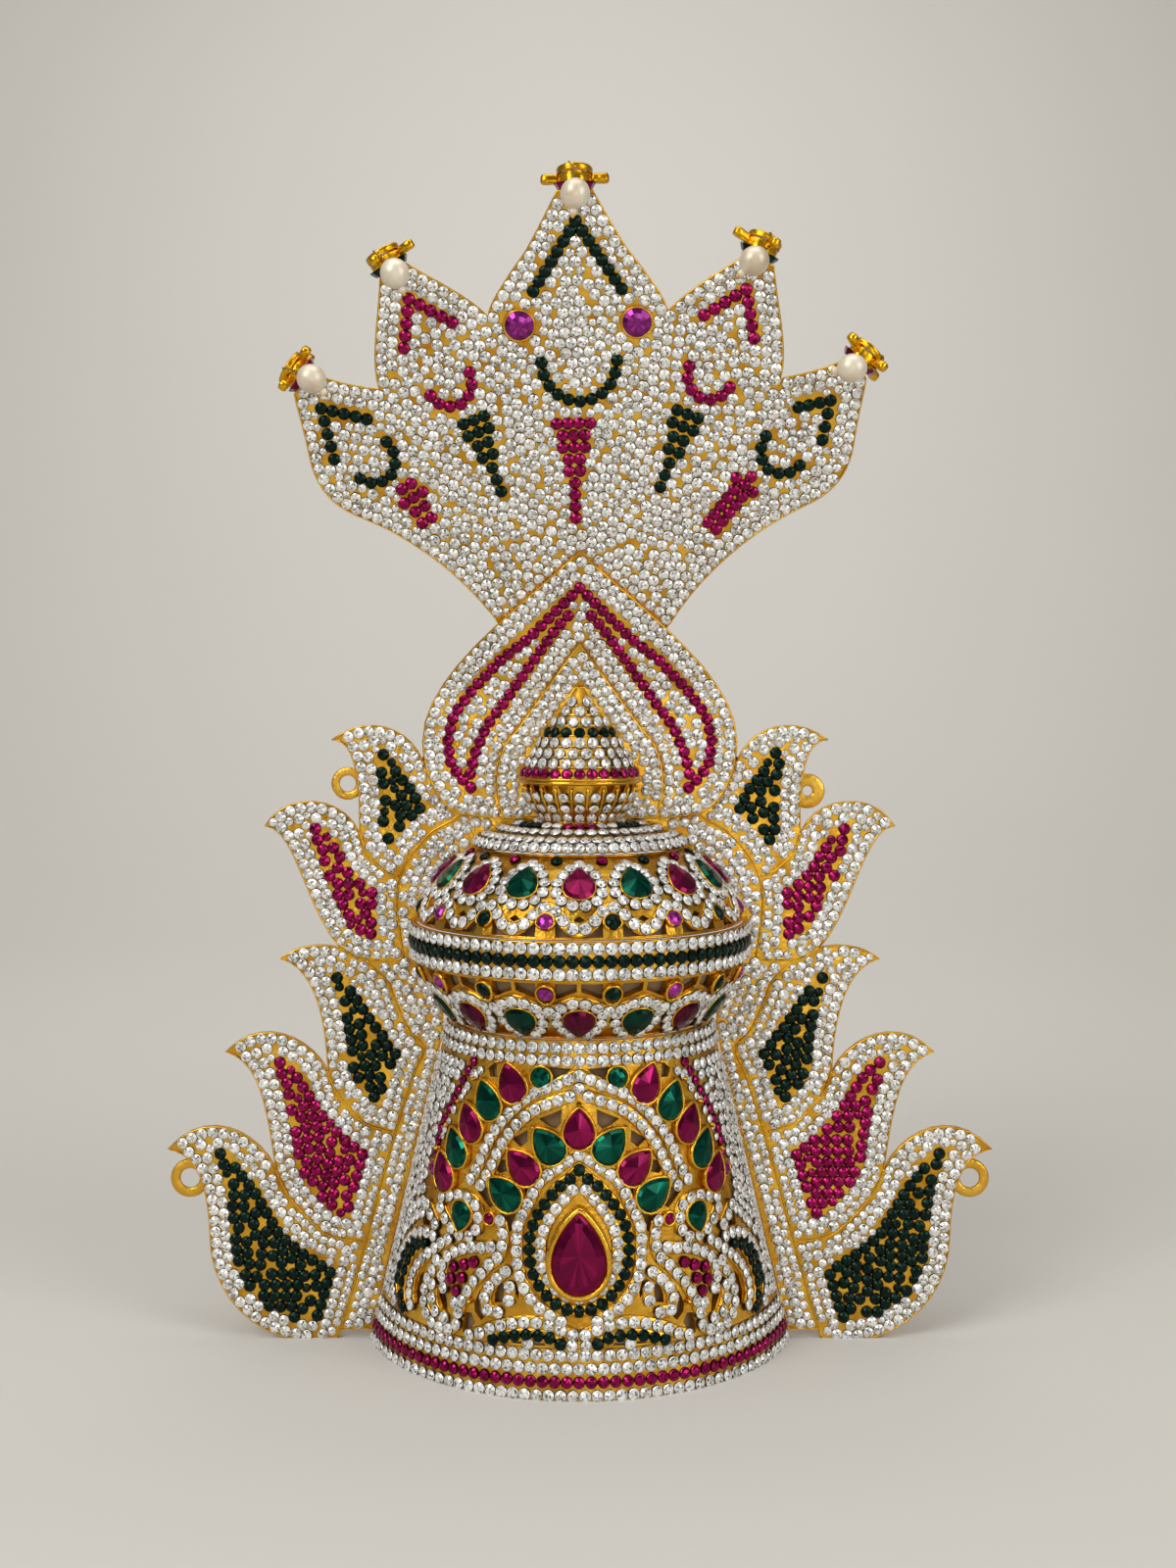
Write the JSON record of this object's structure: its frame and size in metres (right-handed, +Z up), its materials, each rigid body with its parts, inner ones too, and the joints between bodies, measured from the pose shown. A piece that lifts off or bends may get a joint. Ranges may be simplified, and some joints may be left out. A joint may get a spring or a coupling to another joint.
{
  "type": "deity crown",
  "caption": "Open-backed half crown with a pierced body, onion bulge and finial, flame-leaf flanks, and a five-headed serpent hood leaning forward.",
  "frame": {"origin": "on the surface that the rim stands on, under the middle of the crown's box", "axes": "+Z up through the finial and hood, -Y towards the viewer and the wearer's face, +X to the viewer's right"},
  "size_m": [0.2316, 0.063, 0.3177],
  "materials": {
    "gilding": "bright yellow gold plating, lightly worn on edges",
    "clear_stone": "clear foil-backed rhinestone",
    "ruby_stone": "ruby-pink foil-backed glass",
    "emerald_stone": "deep green foil-backed glass",
    "violet_stone": "violet faceted glass",
    "pearl": "imitation pearl, satin lustre"
  },
  "bodies": {
    "root": {"base_band": "gilding", "belt_ring": "gilding", "body_shell": "gilding", "bowl_pear_ring": "ruby_stone", "bulge_bowl": "gilding", "bulge_dome": "gilding", "centre_pear": "ruby_stone", "dome_pear_ring": "ruby_stone", "fan_pear_left_2": "emerald_stone", "fan_pear_left_3": "ruby_stone", "fan_pear_left_4": "emerald_stone", "fan_pear_middle": "ruby_stone", "fan_pear_right_2": "emerald_stone", "fan_pear_right_3": "ruby_stone", "fan_pear_right_4": "emerald_stone", "finial_gallery": "gilding", "finial_spire": "gilding", "flank_plate_left": "gilding", "flank_plate_right": "gilding", "heart_plate": "gilding", "hood_eye_left": "violet_stone", "hood_eye_right": "violet_stone", "hood_plate": "gilding", "inner_arch": "gilding", "lotus_collar": "gilding", "outer_pear_left_1": "ruby_stone", "outer_pear_left_2": "emerald_stone", "outer_pear_left_3": "ruby_stone", "outer_pear_left_4": "emerald_stone", "outer_pear_left_5": "ruby_stone", "outer_pear_right_1": "ruby_stone", "outer_pear_right_2": "emerald_stone", "outer_pear_right_3": "ruby_stone", "outer_pear_right_4": "emerald_stone", "outer_pear_right_5": "ruby_stone", "pearl_1": "pearl", "pearl_2": "pearl", "pearl_3": "pearl", "pearl_4": "pearl", "pearl_5": "pearl", "rosette_1": "gilding", "rosette_2": "gilding", "rosette_3": "gilding", "rosette_4": "gilding", "rosette_5": "gilding", "swan_pear_left_1": "emerald_stone", "swan_pear_right_1": "emerald_stone", "tie_loop_lower_left": "gilding", "tie_loop_lower_right": "gilding", "tie_loop_upper_left": "gilding", "tie_loop_upper_right": "gilding"}
  },
  "joints": []
}
